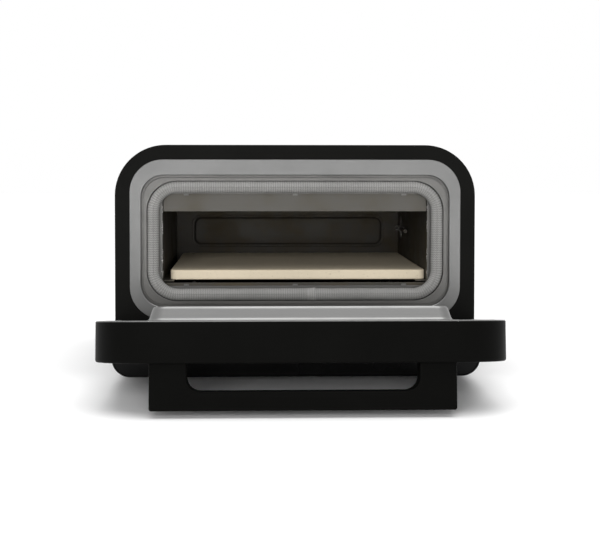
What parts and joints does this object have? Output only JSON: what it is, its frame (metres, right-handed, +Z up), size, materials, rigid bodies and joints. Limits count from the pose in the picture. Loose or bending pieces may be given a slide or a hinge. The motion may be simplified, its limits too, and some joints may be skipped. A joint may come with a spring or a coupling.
{
  "type": "countertop electric pizza oven",
  "caption": "Box-shaped countertop electric pizza oven with a drop-down front door, roped door seal, baking stone and two side knobs.",
  "frame": {"origin": "middle of the whole object's footprint with its door open, on the surface that the feet stand on", "axes": "+X to the right seen from the front, +Y from the front to the back, +Z up"},
  "size_m": [0.4596, 0.661, 0.2865],
  "materials": {
    "black_paint": "satin black paint",
    "gloss_black": "glossy black enamel",
    "door_paint": "satin black paint",
    "handle_black": "satin black coated casting",
    "rubber": "matte",
    "screw_steel": "plain zinc plate",
    "frame_steel": "satin, finely brushed",
    "channel_steel": "dull aluminised",
    "rope": "knitted glass fibre",
    "shield_steel": "heat-tinted",
    "cavity_steel": "dull, heat-darkened",
    "stone": "unglazed cordierite, stands in for ceramic",
    "element_steel": "dark oxidised sheath",
    "clip_steel": "dull",
    "ceramic": "glazed ceramic",
    "blanket": "fibre blanket",
    "probe_steel": "drawn tube",
    "plate_steel": "satin, brushed",
    "switch_plastic": "heat-proof moulding",
    "spindle_steel": "turned",
    "knob_black": "fine matte",
    "lamp_red": "clear red",
    "inlet_black": "matte",
    "loom_sleeve": "woven sleeve",
    "liner_steel": "satin",
    "hinge_metal": "cast",
    "bush_brass": "plain bronze",
    "glass": "dark tinted heat-proof glass"
  },
  "bodies": {
    "oven": {"outer_shell": "black_paint", "front_fascia": "black_paint", "front_plinth": "gloss_black", "base_pan": "black_paint", "back_panel": "black_paint", "feet": "rubber", "foot_screws": "screw_steel", "shell_screws": "screw_steel", "front_frame": "frame_steel", "gasket_channel": "channel_steel", "door_gasket": "rope", "gasket_sleeve": "rope", "mouth_tabs": "channel_steel", "heat_shield": "shield_steel", "cavity_floor": "cavity_steel", "cavity_ceiling": "cavity_steel", "cavity_left_wall": "cavity_steel", "cavity_right_wall": "cavity_steel", "cavity_back_wall": "cavity_steel", "stone_rails": "cavity_steel", "upper_element": "element_steel", "lower_element": "element_steel", "element_clips": "clip_steel", "element_terminals": "ceramic", "insulation_top": "blanket", "insulation_bottom": "blanket", "insulation_left": "blanket", "insulation_right": "blanket", "insulation_back": "blanket", "thermostat_probe": "probe_steel", "probe_bracket": "clip_steel", "control_plate": "plate_steel", "control_screws": "screw_steel", "thermostat": "switch_plastic", "timer": "switch_plastic", "indicator_lamp": "lamp_red", "power_inlet": "inlet_black", "terminal_block": "ceramic", "wiring_loom": "loom_sleeve", "thermal_cutout": "knob_black", "hinge_brackets": "clip_steel", "hinge_screws": "screw_steel", "hinge_pins": "spindle_steel", "door_bumpers": "rubber"},
    "door": {"door_skin": "door_paint", "door_liner": "liner_steel", "door_insulation": "blanket", "window_duct": "clip_steel", "outer_glass": "glass", "inner_glass": "glass", "door_hinge_blocks": "hinge_metal", "hinge_bushes": "bush_brass", "door_handle": "handle_black", "handle_screws": "screw_steel", "door_screws": "screw_steel"},
    "temperature_control": {"temperature_knob": "knob_black", "temperature_spindle": "spindle_steel"},
    "timer_control": {"timer_knob": "knob_black", "timer_spindle": "spindle_steel"},
    "stone": {"pizza_stone": "stone"}
  },
  "joints": [
    {"name": "door_hinge", "type": "hinge", "parent": "oven", "child": "door", "pos_m": [-0.00825, -0.09451, 0.053], "axis": [-1, 0, 0], "range_deg": [0, 83.4]},
    {"name": "temperature_turn", "type": "hinge", "parent": "oven", "child": "temperature_control", "pos_m": [0.21425, 0.10649, 0.172], "axis": [-1, 0, 0], "range_deg": [0, 270]},
    {"name": "timer_turn", "type": "hinge", "parent": "oven", "child": "timer_control", "pos_m": [0.21425, 0.10649, 0.104], "axis": [-1, 0, 0], "range_deg": [0, 300]},
    {"name": "stone_lift", "type": "slide", "parent": "oven", "child": "stone", "axis": [0, 0, 1], "range_m": [0, 0.018]}
  ]
}
